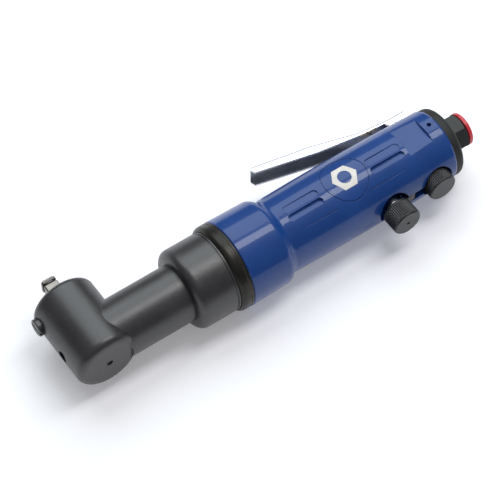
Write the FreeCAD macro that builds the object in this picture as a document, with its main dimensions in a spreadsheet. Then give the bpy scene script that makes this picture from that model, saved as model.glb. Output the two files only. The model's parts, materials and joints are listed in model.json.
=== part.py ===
import FreeCAD, Part
import math
import os
import types

import Sketcher
from FreeCAD import Placement, Rotation, Vector

# Right-angle pneumatic nut runner with a 3/8 inch square drive.
#
# Every sub-part is drawn in the tool's own lines: X runs from the drive towards the air
# inlet and is the axis of neck, clutch, motor and grip; Y is the axis of the drive, with
# the square at +Y; X, Y and Z are zero where those two axes cross.  The last step of each
# sub-part moves it so that the origin is under the middle of the tool lying on its side.

# Driving dimensions: name, value in millimetres (degrees for *_angle), meaning.
SIZES = """
head_radius 21.4        outside of the angle head
head_top 37.5           top face of the head
head_depth 18.0         bottom face of the head, below the motor axis
head_top_round 4.5      rounding of the head's top rim
head_bottom_round 5.0   rounding of the head's bottom rim
gear_room_radius 16.0   chamber of the bevel gear
gear_room_top 12.0      top of that chamber
upper_bush_radius 10.0  outside of the upper spindle bushing
upper_bush_top 33.4     top of the upper spindle bushing
head_mouth_radius 7.2   opening that the drive leaves through
neck_radius 19.5        outside of the neck
neck_bore 11.5          bore of the neck
neck_end 62.5           end of the neck, front face of the hammer case
spigot_radius 15.0      threaded spigot of the neck
spigot_end 68.5         end of that spigot
grease_plug_y 28.4      height of the grease plug in the nose
grease_plug_radius 5.8  head of the grease plug
grease_thread_radius 4.0  thread of the grease plug
grease_seat 20.6        seat of the plug, from the drive axis
grease_face 23.9        outer face of the plug
port_radius 4.0         recess in the nose below the plug
port_y 2.0              its height
cap_top 14.3            inner face of the end cap, below the motor axis
cap_pocket_radius 7.0   seat of the lower spindle bushing
cap_pocket_floor 16.3   floor of that seat
cap_hole_radius 2.2     round recess in the middle of the end cap
cap_hole_depth 1.0      its depth
spindle_radius 6.5      spindle in the upper bushing and in the gear
spindle_foot_radius 5.0   spindle in the lower bushing
spindle_foot 16.0       lower end of the spindle
spindle_collar_radius 7.4  collar above the gear
spindle_shoulder 36.2   where the round spindle turns into the square
drive_square 9.53       width of the square drive
drive_corner 0.9        flat on each corner of the square
drive_tip 53.6          end of the square drive
drive_chamfer 1.3       chamfer at that end
ring_groove_y 48.6      lower side of the friction ring's groove
ring_groove_width 1.8   width of the groove
ring_groove_radius 4.5  bottom of the groove
ring_radius 5.35        outside of the friction ring
running_gap 0.04        radial clearance of a running fit
gear_module 1.6         module of the bevel gears
gear_teeth 18           teeth of the gear on the spindle
pinion_teeth 12         teeth of the pinion
gear_face 6.0           width of the teeth
gear_backlash 0.3       backlash at the pitch circle
gear_back 13.8          back of the gear, below the motor axis
gear_hub_top 6.0        top of the gear's hub, below the motor axis
key_width 2.4           key between gear and spindle
key_depth 1.2           depth of the key in each of them
shaft_radius 7.0        pinion shaft
shaft_hub_radius 8.6    hub behind the pinion
shaft_hub_end 18.0      end of that hub
shaft_end 60.0          rear end of the pinion shaft
shaft_hex 8.0           width across flats of its socket
shaft_hex_depth 10.0    depth of the socket
front_bush_start 20.0   front neck bushing
rear_bush_start 47.0    rear neck bushing
neck_bush_length 11.0   length of each
case_radius 27.3        outside of the hammer case
case_round 5.5          rounding of its front
case_end 90.4           end of its bare outside
case_groove_start 88.0  thin groove round the case
case_groove_width 1.2   width of that groove
case_groove_depth 0.7   depth of that groove
case_spigot_radius 25.0   threaded spigot of the case
case_spigot_end 104.0   end of that spigot
case_bore 22.5          bore round the hammers
case_floor 72.0         front wall of that bore
anvil_bush_radius 10.0  outside of the anvil bushing
anvil_radius 7.5        anvil in its bushing
anvil_front 62.0        front of the round anvil
anvil_end 95.0          rear end of the anvil
anvil_nose 50.6         front of the anvil's hexagonal nose
lobe_radius 9.7         tip of the anvil's lobes
lobe_width 5.0          width of the lobes
cage_radius 21.6        outside of the hammer cage
cage_front 73.0         front of the cage
cage_end 99.2           rear of the cage
cage_disc 3.0           thickness of the cage's discs
cage_hole 10.4          hole in the front disc
cage_bar_inner 17.9     inside of the cage's bars
cage_bar_width 18.0     width of the bars
hammer_radius 17.4      outside of a hammer
hammer_bore 10.2        bore of a hammer
hammer_length 9.2       length of a hammer
hammer_gap 0.4          gap between hammers and discs
hammer_ear_radius 4.0   ear that swings on a pin
dog_radius 8.0          tip of the dog that strikes the anvil
dog_width 4.6           width of the dog
pin_circle 17.4         distance of the hammer pins from the axis
pin_radius 2.5          hammer pin
spacer_start 101.0      spacer between clutch and motor
spacer_bore 14.0        its hole
ring_start 90.6         clamp ring between case and housing
ring_end 99.3           its rear face
ring_face_radius 27.8   its front rim
ring_crest_radius 29.6  its crest
ring_crest_start 94.4   front of the crest
ring_line_start 96.9    fine line round the crest
ring_line_width 0.6     width of the line
ring_line_depth 0.4     depth of the line
housing_start 99.4      front of the motor housing
housing_edge 0.5        small bevel at that front
housing_radius 29.7     largest radius of the tool, lying on its side
crest_end 125.5         where the shoulder starts
crest_end_radius 29.2   radius there
shoulder_mid 131.2      middle of the shoulder
shoulder_mid_radius 27.0   radius there
shoulder_sag 0.75       roundness of the shoulder
grip_start 136.5        front of the grip
grip_start_radius 25.3  radius there
grip_sag 0.95           fullness of the grip along its length
grip_end 259.6          rear of the grip
grip_end_radius 24.5    radius there
housing_end 260.7       rear face of the motor housing
housing_end_radius 23.9   radius there
motor_bore 20.0         bore of the housing round the motor
motor_bore_end 175.0    end of that bore
slot_front_start 140.0  front pair of slots, towards the drive
slot_rear_start 203.0   rear pair of slots
slot_length 26.0        length of every slot
slot_deep_y 7.5         deep slot: distance from the middle line
slot_deep_width 4.4     its width
slot_deep_floor 23.2    its floor, from the motor axis
slot_wide_y 1.3         shallow slot: distance from the middle line
slot_wide_width 5.4     its width
slot_wide_floor 24.95   its floor
line_angle 39.0         fine line along the grip, turned round the axis
line_width 0.7          width of that line
line_length 30.0        length of that line
badge_x 186.5           centre of the round badge
badge_y 1.8             its distance from the middle line
badge_radius 15.6       radius of the engraved circle
badge_line 0.55         width of the engraved circle
badge_floor 25.45       depth of the engraving, as a radius from the motor axis
panel_start 231.7       flat panel near the rear
panel_end 250.4         end of the panel
panel_height 22.9       the panel's plane, above the motor axis
panel_half 13.0         half of its cutter's width
pit_x 255.2             small round hole behind the panel
pit_y 1.0               its distance from the middle line
pit_radius 1.5          its radius
pit_floor 20.5          its floor, from the motor axis
deck_start 204.0        flat deck under the rear of the lever
deck_end 258.6          end of the deck
deck_height 20.5        height of the deck on the drive side
lever_pin_x 249.5       pivot of the throttle lever
lever_pin_y 24.5        its height
lever_pin_radius 1.6    lever pin
lug_radius 3.0          lug round the lever pin
lug_foot 5.0            half length of the lug's foot
lug_half 5.7            half width of the lug
lever_half 7.6          half width of the lever
lever_sheet 1.4         thickness of the lever's sheet
lever_tip_x 148.0       front end of the lever
lever_tip_y 49.4        its outer corner
lever_tip_low 43.6      its inner corner
lever_mid_x 192.0       end of the straight front part
lever_mid_y 41.0        outer line there
lever_mid_low 33.8      flange edge there
lever_knee_x 222.0      where the lever flattens again
lever_knee_y 32.4       outer line there
lever_knee_low 29.2     flange edge there
lever_rear_x 257.0      rear end of the lever
lever_rear_y 29.8       outer line of the ears
lever_ear_low 21.4      lower edge of the ears
lever_ear_start 243.5   front of the ears
throttle_x 231.5        axis of the throttle valve
throttle_floor 11.0     floor of the throttle chamber, on the knob side
throttle_chamber 4.6    radius of the throttle chamber
bushing_radius 5.2      throttle bushing in the housing
bushing_low 4.0         its lower end
bushing_head_radius 6.2   its head
bushing_head_top 24.2   top of that head
seal_wire 0.7           section radius of the throttle seal
stem_radius 1.6         stem of the throttle valve
stem_top 29.4           top of the stem
valve_radius 4.1        disc of the throttle valve
valve_thickness 3.0     its thickness
spring_radius 3.1       throttle spring, middle of the wire
spring_wire 0.45        wire radius
spring_turns 5          turns
forward_x 210.0         axis of the forward knob
reverse_x 244.5         axis of the reverse knob
forward_face 39.5       face of the forward knob, pulled out
knob_travel 8.5         travel from one direction to the other
knob_radius 10.0        outside of a knob
knob_length 13.0        length of a knob
knob_wall 3.0           thickness of its face
knob_hollow 7.6         hollow of the knob
knob_rim 1.6            plain rim at the inner end
knob_edge 0.6           bevel of the face
knob_ridges 48          ridges of the knurling
knob_ridge_depth 0.35   depth of the knurling
dimple_radius 1.2       dimple in the forward knob
dimple_depth 1.0        its depth
knob_stem 4.0           valve stem of a knob
knob_stem_length 19.0   its length
sleeve_radius 7.2       valve sleeve of a knob
sleeve_out 26.0         outer end of the sleeve
sleeve_in 8.5           inner end of the sleeve
scallop_radius 11.6     round pocket behind a knob
scallop_floor 17.3      floor of the pocket
rocker_x 227.25         pivot of the rocker between the knobs
rocker_y 20.2           its distance from the motor axis
rocker_half 9.3         half length of the rocker
rocker_tip 1.2          rounding of its ends
rocker_hub 3.4          its hub
rocker_thick 6.0        thickness of the rocker
rocker_slot 7.0         width of the rocker's slot
rocker_pin_radius 1.5   rocker pin
rocker_pin_half 9.0     half length of the rocker pin
feed_radius 2.4         air passages
feed_y 12.5             distance of the feed passage from the axis
exhaust_radius 3.0      exhaust passages
exhaust_circle 17.5     their distance from the axis
plate_radius 20.0       end plates and motor cylinder
plate_length 8.0        length of an end plate
cylinder_bore 17.2      bore of the motor cylinder
cylinder_offset 1.3     how far that bore lies off the motor axis
rotor_radius 15.6       rotor
rotor_gap 0.3           end clearance of the rotor
rotor_shaft 4.0         rotor shaft
vane_count 6            vanes of the motor
vane_width 1.8          thickness of a vane
vane_depth 7.0          height of a vane
bearing_radius 11.0     ball bearings: outside
bearing_length 7.0      length
bearing_pitch 7.5       circle of the balls
ball_radius 1.95        balls
ball_count 7            balls in a bearing
race_gap 1.35           half of the gap between the races
exhaust_end 267.6       rear face of the exhaust ring
exhaust_round 3.4       rounding of its outer edge
exhaust_bore 9.6        its hole
chamber_inner 13.0      silencer chamber, inside
chamber_outer 20.8      silencer chamber, outside
chamber_end 265.4       rear wall of that chamber
vent_radius 1.5         exhaust vents
vent_count 12           number of vents
vent_circle 17.2        their distance from the axis
inlet_thread 9.5        threaded part of the inlet bushing
inlet_start 252.5       its front end
inlet_flats 22.0        width across flats of the inlet's hexagon
inlet_end 280.4         rear end of the inlet bushing
inlet_bore 5.56         tapping bore of the 1/4 NPT air inlet
inlet_bore_start 263.0  front end of that bore
inlet_mouth 7.0         counterbore of the inlet
inlet_mouth_depth 5.8   its depth
inlet_throat 4.4        passage in front of the bore
inlet_passage 6.0       passage in the housing
strainer_radius 6.4     inlet strainer, in the front end of the inlet bushing
strainer_thickness 0.8  its thickness
strainer_hole 0.55      its holes
o_ring_x 256.2          o-ring on the inlet bushing
o_ring_wire 0.9         its section radius
plug_flange 11.4        flange of the dust plug
plug_flange_thickness 2.8   its thickness
plug_stem_length 5.2    its hollow stem
plug_wall 1.5           wall of the stem
plug_end 284.0          outer face of the dust plug
grease_bevel 0.6        bevel of the grease plug's face
grease_thread_end 12.5  inner end of its thread, from the drive axis
grease_slot_depth 1.3   screwdriver slot of the grease plug
grease_slot_width 1.5   its width
grease_clearance 0.3    play round the head of the grease plug
port_depth 3.2          depth of the recess in the nose
collar_height 1.4       height of the spindle's collar
split_ring_float 0.05   play between the friction ring and its groove's floor
split_ring_play 0.1     play at the sides of the friction ring
split_ring_bevel 0.4    bevel of its outer edges
split_ring_gap 1.2      gap in the friction ring
gear_tooth_sink 0.5     how far the teeth reach into the gear's blank
gear_back_step 0.6      step behind the gear's teeth
pinion_hub_step 0.8     step behind the pinion's teeth
hex_play 0.05           play between the hexagonal nose and its socket
upper_bush_relief 2.0   room between the gears and the upper bushing
ring_face_bow 0.55      bow of the front ring's face
ring_edge 0.5           bevel of its rear edge
lobe_relief 0.6         room at each end of an anvil lobe
cage_overlap 0.5        how far the cage's discs reach into its bars
hammer_relief 0.5       step below the hammers' ears
hammer_ear_spread 2.0   how much wider an ear's foot is than the ear
hammer_ear_foot 1.5     foot of an ear, outside the hammer's bore
hammer_ear_drop 0.4     flat on the top of an ear
dog_root 1.0            root of a dog, outside the hammer's bore
hammer_swing 1.0        play round the pin that a hammer swings past
track_play 0.05         play between the balls and their tracks
plate_bore 6.0          shaft hole of the end plates
gasket_thickness 1.0    thickness of the rear gasket
gasket_bore 9.0         its hole
cylinder_port 1.5       exhaust ports of the cylinder
cylinder_port_step 12.0 distance between them
lug_sink 2.0            how far the lever's lug reaches into the housing
rocker_slot_floor 13.0  floor of the rocker's slot
line_front_shift 1.0    start of the front fine line, behind the front slots' start
line_rear_shift 7.0     start of the rear fine line, in front of the rear slots' start
lever_ear_bend 1.0      end of the ears' straight edge
lever_ear_slope 2.5     length of the slope in front of the ears
lever_ear_rise 1.6      depth of the flange at that slope
lever_tip_slope 2.5     slope of the flange at the tip
lever_edge 2.0          rounding of the lever's outer edges
lever_tip_lip 0.19      lip left at the lever's open tip
pin_head_gap 0.2        play of the lever pin's heads
pin_head_height 0.9     height of those heads
pin_head_step 1.1       how far they stand out from the pin
valve_seat_step 0.4     distance from the bushing to the valve's disc
seal_depth 3.0          depth of the throttle seal below the deck
bushing_bevel 0.6       bevel of the throttle bushing's head
stem_bevel 0.7          bevel of the valve stem's end
knob_rim_bevel 0.4      bevel of a knob's rim
exhaust_step 0.1        how far the exhaust ring lies below the housing
inlet_bevel_length 1.2  bevel of the hexagon's corners, along the axis
inlet_bevel_depth 1.7   the same, towards the axis
strainer_inner 1.7      inner circle of the strainer's holes
strainer_outer 3.3      outer circle of the strainer's holes
"""

OVER = 1.0  # how far a cutting shape runs past what it cuts
TOUCH = 0.01  # points nearer than this are the same
PRESSURE_ANGLE = math.radians(20)
DEDENDUM = 1.25  # depth of a tooth below its pitch line, in modules
FLANK_HEIGHTS = (-0.6, 0, 0.5, 0.9)  # points along a tooth's flank, in modules
EXHAUST_ANGLES = (225, 270, 315)
ROCKER_BACK = 0.75  # back of the rocker, as a part of its hub's height
ROCKER_FLAT = 0.42  # half of the rocker's front, as a part of its reach
ROCKER_BOW = 0.35  # hollow of that front

DOC = FreeCAD.newDocument("right_angle_air_wrench")
SHEET = DOC.addObject("Spreadsheet::Sheet", "Dims")
SUBPARTS = []


class Size:
    """A dimension known both as a number and as the expression that the sheet evaluates."""

    def __init__(self, value, text):
        self.value = value
        self.text = text

    def __add__(self, other):
        other = as_size(other)
        return Size(self.value + other.value, f"({self.text} + {other.text})")

    def __sub__(self, other):
        other = as_size(other)
        return Size(self.value - other.value, f"({self.text} - {other.text})")

    def __mul__(self, other):
        other = as_size(other)
        return Size(self.value * other.value, f"({self.text} * {other.text})")

    def __truediv__(self, other):
        other = as_size(other)
        return Size(self.value / other.value, f"({self.text} / {other.text})")

    def __neg__(self):
        return Size(-self.value, f"(-1 * {self.text})")

    def __radd__(self, other):
        return as_size(other) + self

    def __rsub__(self, other):
        return as_size(other) - self

    def __rmul__(self, other):
        return as_size(other) * self


def as_size(number):
    if isinstance(number, Size):
        return number
    return Size(float(number), f"{float(number):.6f}")


def fill_sheet():
    """Write the table into the sheet and return its values by name."""
    named = types.SimpleNamespace()
    for row, line in enumerate(SIZES.strip().splitlines(), start=1):
        alias, number, meaning = line.split(maxsplit=2)
        SHEET.set(f"A{row}", number)
        SHEET.setAlias(f"A{row}", alias)
        SHEET.set(f"B{row}", meaning.strip())
        setattr(named, alias, Size(float(number), f"Dims.{alias}"))
    DOC.recompute()
    return named


d = fill_sheet()
MID_X = (d.plug_end - d.grease_face) / 2
MID_Y = (d.drive_tip - d.forward_face) / 2
QUARTER = 1 - math.sqrt(0.5)  # height of a quarter circle's bow, per unit of radius
TURN_TO = {
    "X": Rotation(Vector(0, 0, 1), Vector(1, 0, 0)),
    "Y": Rotation(Vector(0, 0, 1), Vector(0, 1, 0)),
    "Z": Rotation(),
}


# ---------------------------------------------------------------- drawing helpers

def bind(target, prop, size):
    """Tie a property to the sheet, or set it when it is a plain number."""
    if isinstance(size, Size):
        target.setExpression(prop, size.text)
    elif "." not in prop and "[" not in prop:
        setattr(target, prop, size)
    else:
        target.setExpression(prop, as_size(size).text)


def finish(shape_object, label, x=0, y=0, z=0):
    """Name a finished sub-part and place it in the frame of the whole tool."""
    shape_object.Label = label
    bind(shape_object, "Placement.Base.x", x - MID_X)
    bind(shape_object, "Placement.Base.y", y - MID_Y)
    bind(shape_object, "Placement.Base.z", z + d.housing_radius)
    SUBPARTS.append(shape_object)
    return shape_object


def new_body(name):
    return DOC.addObject("PartDesign::Body", f"{name}_body")


def origin_plane(body, role):
    return next(item for item in body.Origin.OriginFeatures if item.Role == role)


def outline(body, plane, corners):
    """Closed sketch whose corners are bound to the sheet.

    A corner is (x, y) or (x, y, bow): with a bow, the side to the next corner is an arc that
    stands out by that much, to the left of the direction of travel when it is positive.
    """
    sketch = body.newObject("Sketcher::SketchObject", "outline")
    sketch.AttachmentSupport = (origin_plane(body, plane), [""])
    sketch.MapMode = "FlatFace"
    corners = [tuple(as_size(value) for value in corner) for corner in corners]
    ends = []
    for corner, following in zip(corners, corners[1:] + corners[:1]):
        first = Vector(corner[0].value, corner[1].value, 0)
        last = Vector(following[0].value, following[1].value, 0)
        if len(corner) == 2:
            sketch.addGeometry(Part.LineSegment(first, last), False)
            ends.append((1, 2))
            continue
        along = (last - first).normalize()
        left = Vector(-along.y, along.x, 0)
        crown = (first + last) * 0.5 + left * corner[2].value
        if corner[2].value > 0:
            sketch.addGeometry(Part.Arc(last, crown, first), False)
            ends.append((2, 1))
        else:
            sketch.addGeometry(Part.Arc(first, crown, last), False)
            ends.append((1, 2))
    count = len(corners)
    for here in range(count):
        following = (here + 1) % count
        sketch.addConstraint(
            Sketcher.Constraint("Coincident", here, ends[here][1], following, ends[following][0])
        )
    for here, corner in enumerate(corners):
        for kind, coordinate in (("DistanceX", corner[0]), ("DistanceY", corner[1])):
            index = sketch.addConstraint(
                Sketcher.Constraint(kind, here, ends[here][0], coordinate.value)
            )
            sketch.setExpression(f"Constraints[{index}]", coordinate.text)
    for here, corner in enumerate(corners):
        if len(corner) == 3:
            following = corners[(here + 1) % count]
            run = following[0] - corner[0]
            rise = following[1] - corner[1]
            bow = corner[2] if corner[2].value > 0 else -corner[2]
            radius = (run * run + rise * rise) / (bow * 8) + bow / 2
            index = sketch.addConstraint(Sketcher.Constraint("Radius", here, radius.value))
            sketch.setExpression(f"Constraints[{index}]", radius.text)
    return sketch


def spin(body, profile, axis, kind="PartDesign::Revolution"):
    """Revolve a profile of (station, radius) corners about the body's X, Y or Z axis."""
    if axis == "X":
        sketch = outline(body, "XY_Plane", profile)
    else:
        plane = "XY_Plane" if axis == "Y" else "XZ_Plane"
        turned_round = [(c[1], c[0]) + tuple(-as_size(bow) for bow in c[2:]) for c in profile]
        sketch = outline(body, plane, turned_round)
    feature = body.newObject(kind, "turned")
    feature.Profile = sketch
    feature.ReferenceAxis = (sketch, ["H_Axis"] if axis == "X" else ["V_Axis"])
    feature.Angle = 360
    return feature


def turned(label, axis, profile, x=0, y=0, z=0):
    body = new_body(label)
    spin(body, profile, axis)
    return finish(body, label, x, y, z)


def ring_profile(start, end, inner, outer):
    return [(start, inner), (start, outer), (end, outer), (end, inner)]


def pad(body, sketch, length, both_ways=False, reverse=False, kind="PartDesign::Pad"):
    feature = body.newObject(kind, "pad")
    feature.Profile = sketch
    bind(feature, "Length", length)
    feature.Midplane = both_ways
    feature.Reversed = reverse
    return feature


def pocket(body, sketch, length, both_ways=False, reverse=False):
    return pad(body, sketch, length, both_ways, reverse, "PartDesign::Pocket")


def put(feature, x, y, z, axis="Z"):
    feature.Placement = Placement(Vector(), TURN_TO[axis])
    bind(feature, "Placement.Base.x", as_size(x))
    bind(feature, "Placement.Base.y", as_size(y))
    bind(feature, "Placement.Base.z", as_size(z))


def drill(body, axis, radius, length, x=0, y=0, z=0):
    """Round hole that starts at (x, y, z) and runs along +axis."""
    feature = body.newObject("PartDesign::SubtractiveCylinder", "hole")
    bind(feature, "Radius", radius)
    bind(feature, "Height", length)
    put(feature, x, y, z, axis)
    return feature


def mill(body, size_x, size_y, size_z, x, y, z):
    """Box-shaped cut whose lowest corner is (x, y, z)."""
    feature = body.newObject("PartDesign::SubtractiveBox", "cut")
    bind(feature, "Length", size_x)
    bind(feature, "Width", size_y)
    bind(feature, "Height", size_z)
    put(feature, x, y, z)
    return feature


def dress_edges(body, kind, prop, size, wanted):
    """Fillet or chamfer the edges of the body so far for which wanted(edge) is true."""
    DOC.recompute()
    tip = body.Tip
    names = [f"Edge{n}" for n, edge in enumerate(tip.Shape.Edges, start=1) if wanted(edge)]
    feature = body.newObject(kind, "dressed")
    feature.Base = (tip, names)
    bind(feature, prop, size)


def repeat_round(body, features, axis, count):
    """Repeat features evenly round the body's own X, Y or Z axis."""
    pattern = body.newObject("PartDesign::PolarPattern", "pattern")
    pattern.Originals = features
    pattern.Axis = (origin_plane(body, f"{axis}_Axis"), [""])
    pattern.Angle = 360
    bind(pattern, "Occurrences", count)
    body.Tip = pattern


def hexagon(across_flats):
    """Corners of a hexagon with two flats parallel to the sketch's first axis."""
    side = across_flats / math.sqrt(3)
    half = across_flats / 2
    return [(side, 0), (side / 2, half), (-side / 2, half), (-side, 0),
            (-side / 2, -half), (side / 2, -half)]


def stadium(start, length, middle, width):
    """Slot outline with round ends, along the sketch's first axis."""
    radius = width / 2
    bow = -radius * QUARTER
    left = start + radius
    right = start + length - radius
    return [(left, middle - radius), (right, middle - radius, bow),
            (start + length, middle, bow), (right, middle + radius),
            (left, middle + radius, bow), (start, middle, bow)]


# ---------------------------------------------------------------- angle head

def make_angle_head():
    body = new_body("angle_head")
    spin(body, [(0, 0), (0, d.neck_radius), (d.neck_end, d.neck_radius),
                (d.neck_end, d.spigot_radius), (d.spigot_end, d.spigot_radius),
                (d.spigot_end, 0)], "X")
    top_round = d.head_top_round
    low_round = d.head_bottom_round
    spin(body, [(-d.head_depth, 0),
                (-d.head_depth, d.head_radius - low_round, low_round * QUARTER),
                (low_round - d.head_depth, d.head_radius),
                (d.head_top - top_round, d.head_radius, top_round * QUARTER),
                (d.head_top, d.head_radius - top_round),
                (d.head_top, 0)], "Y")
    drill(body, "Y", d.head_radius - low_round, d.neck_radius + OVER - d.head_depth,
          y=-d.neck_radius - OVER)
    drill(body, "Y", d.gear_room_radius, d.head_depth + d.gear_room_top, y=-d.head_depth)
    drill(body, "X", d.neck_bore, d.spigot_end)
    drill(body, "Y", d.upper_bush_radius, d.upper_bush_top)
    drill(body, "Y", d.head_mouth_radius, d.head_top)
    nose = d.head_radius + OVER
    drill(body, "X", d.grease_thread_radius, d.head_radius, x=-nose, y=d.grease_plug_y)
    drill(body, "X", d.grease_plug_radius + d.grease_clearance, nose - d.grease_seat,
          x=-nose, y=d.grease_plug_y)
    drill(body, "X", d.port_radius, nose - d.head_radius + d.port_depth, x=-nose, y=d.port_y)
    drill(body, "X", d.port_radius / 3, nose - d.gear_room_radius + OVER, x=-nose, y=d.port_y)
    finish(body, "angle_head")


def make_end_cap():
    body = new_body("end_cap")
    spin(body, [(-d.head_depth, 0), (-d.head_depth, d.gear_room_radius),
                (-d.cap_top, d.gear_room_radius), (-d.cap_top, d.cap_pocket_radius),
                (-d.cap_pocket_floor, d.cap_pocket_radius), (-d.cap_pocket_floor, 0)], "Y")
    drill(body, "Y", d.cap_hole_radius, d.cap_hole_depth, y=-d.head_depth)
    finish(body, "end_cap")


def make_grease_plug():
    body = new_body("grease_plug")
    spin(body, [(-d.grease_face, 0), (-d.grease_face, d.grease_plug_radius - d.grease_bevel),
                (d.grease_bevel - d.grease_face, d.grease_plug_radius),
                (-d.grease_seat, d.grease_plug_radius),
                (-d.grease_seat, d.grease_thread_radius),
                (-d.grease_thread_end, d.grease_thread_radius), (-d.grease_thread_end, 0)], "X")
    mill(body, d.grease_slot_depth, d.grease_plug_radius * 2 + 2 * OVER, d.grease_slot_width,
         -d.grease_face, -d.grease_plug_radius - OVER, -d.grease_slot_width / 2)
    finish(body, "grease_plug", y=d.grease_plug_y)


# ---------------------------------------------------------------- drive spindle

def make_spindle():
    body = new_body("spindle")
    collar_top = d.collar_height - d.gear_hub_top
    spin(body, [(-d.spindle_foot, 0), (-d.spindle_foot, d.spindle_foot_radius),
                (-d.gear_back, d.spindle_foot_radius), (-d.gear_back, d.spindle_radius),
                (-d.gear_hub_top, d.spindle_radius),
                (-d.gear_hub_top, d.spindle_collar_radius),
                (collar_top, d.spindle_collar_radius), (collar_top, d.spindle_radius),
                (d.spindle_shoulder, d.spindle_radius), (d.spindle_shoulder, 0)], "Y")
    half = d.drive_square / 2
    inner = half - d.drive_corner
    square = outline(body, "XZ_Plane", [
        (half, -inner), (half, inner), (inner, half), (-inner, half),
        (-half, inner), (-half, -inner), (-inner, -half), (inner, -half)])
    pad(body, square, d.drive_tip, reverse=True)
    tip = d.drive_tip.value
    dress_edges(body, "PartDesign::Chamfer", "Size", d.drive_chamfer,
                lambda edge: all(abs(v.Y - tip) < TOUCH for v in edge.Vertexes))
    groove_end = d.ring_groove_y + d.ring_groove_width
    spin(body, [(d.ring_groove_y, d.ring_groove_radius), (d.ring_groove_y, d.spindle_radius + OVER),
                (groove_end, d.spindle_radius + OVER), (groove_end, d.ring_groove_radius)],
         "Y", "PartDesign::Groove")
    mill(body, d.key_depth + OVER, d.gear_back - d.gear_hub_top, d.key_width,
         -d.spindle_radius - OVER, -d.gear_back, -d.key_width / 2)
    finish(body, "spindle")


def make_gear_key():
    key = DOC.addObject("Part::Box", "gear_key_box")
    bind(key, "Length", d.key_depth * 2)
    bind(key, "Width", d.gear_back - d.gear_hub_top)
    bind(key, "Height", d.key_width)
    finish(key, "gear_key", -d.spindle_radius - d.key_depth, -d.gear_back, -d.key_width / 2)


def make_friction_ring():
    body = new_body("friction_ring")
    start = d.ring_groove_y + d.split_ring_play
    end = d.ring_groove_y + d.ring_groove_width - d.split_ring_play
    inner = d.ring_groove_radius + d.split_ring_float
    bevel = d.split_ring_bevel
    spin(body, [(start, inner), (start, d.ring_radius - bevel), (start + bevel, d.ring_radius),
                (end - bevel, d.ring_radius), (end, d.ring_radius - bevel), (end, inner)], "Y")
    mill(body, d.ring_radius + OVER, d.ring_groove_width, d.split_ring_gap,
         0, d.ring_groove_y, -d.split_ring_gap / 2)
    finish(body, "friction_ring")


# ---------------------------------------------------------------- bevel gears

def involute_flank(pitch_radius, pressure, radius, half_thickness):
    """Half thickness of an involute tooth at a radius, given that at the pitch circle."""
    base = pitch_radius * math.cos(pressure)
    reach = math.acos(base / max(base, radius))
    spread = (math.tan(pressure) - pressure) - (math.tan(reach) - reach)
    return radius * (half_thickness / pitch_radius + spread)


def bevel_tooth(teeth, mate_teeth, axis, towards):
    """One straight bevel tooth: sections that shrink towards the gears' common apex."""
    module = d.gear_module.value
    cone_angle = math.atan(teeth / mate_teeth)
    cone_length = module * teeth / 2 / math.sin(cone_angle)
    virtual = module * teeth / math.cos(cone_angle) / 2
    half_thickness = module * math.pi / 4 - d.gear_backlash.value / 4
    pitch_point = axis * (cone_length * math.cos(cone_angle))
    pitch_point += towards * (cone_length * math.sin(cone_angle))
    outward = towards * math.cos(cone_angle) - axis * math.sin(cone_angle)
    sideways = axis.cross(towards)
    root = -DEDENDUM * module
    heights = [root - d.gear_tooth_sink.value, root]
    heights += [height * module for height in FLANK_HEIGHTS]
    flank = []
    for height in heights:
        radius = virtual + max(height, root)
        width = involute_flank(virtual, PRESSURE_ANGLE, radius, half_thickness)
        flank.append((height, width))

    def section(scale):
        right = [(pitch_point + outward * up + sideways * wide) * scale for up, wide in flank]
        left = [(pitch_point + outward * up - sideways * wide) * scale for up, wide in flank]
        points = right + left[::-1]
        return Part.makePolygon(points + points[:1])

    inner_scale = 1 - d.gear_face.value / cone_length
    return Part.makeLoft([section(1), section(inner_scale)], True, True)


def bevel_shape(blank, teeth, mate_teeth, axis, towards, first_angle):
    """Blank of revolution with its ring of bevel teeth."""
    tooth = bevel_tooth(teeth, mate_teeth, axis, towards)
    ring = []
    for number in range(teeth):
        one = tooth.copy()
        one.rotate(Vector(), axis, first_angle + 360 * number / teeth)
        ring.append(one)
    return blank.multiFuse(ring).removeSplitter()


def root_corner(teeth, mate_teeth, scale):
    """Root of the tooth as (distance along the axis, radius) at a scale from the apex."""
    module = d.gear_module.value
    cone_angle = math.atan(teeth / mate_teeth)
    cone_length = module * teeth / 2 / math.sin(cone_angle)
    down = DEDENDUM * module
    along = cone_length * math.cos(cone_angle) + down * math.sin(cone_angle)
    radius = cone_length * math.sin(cone_angle) - down * math.cos(cone_angle)
    return along * scale, radius * scale


def revolved(corners, axis, across):
    """Solid of revolution about an axis through the origin, from (station, radius) corners."""
    points = [axis * station + across * radius for station, radius in corners]
    face = Part.Face(Part.makePolygon(points + points[:1]))
    return face.revolve(Vector(), axis, 360)


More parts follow.
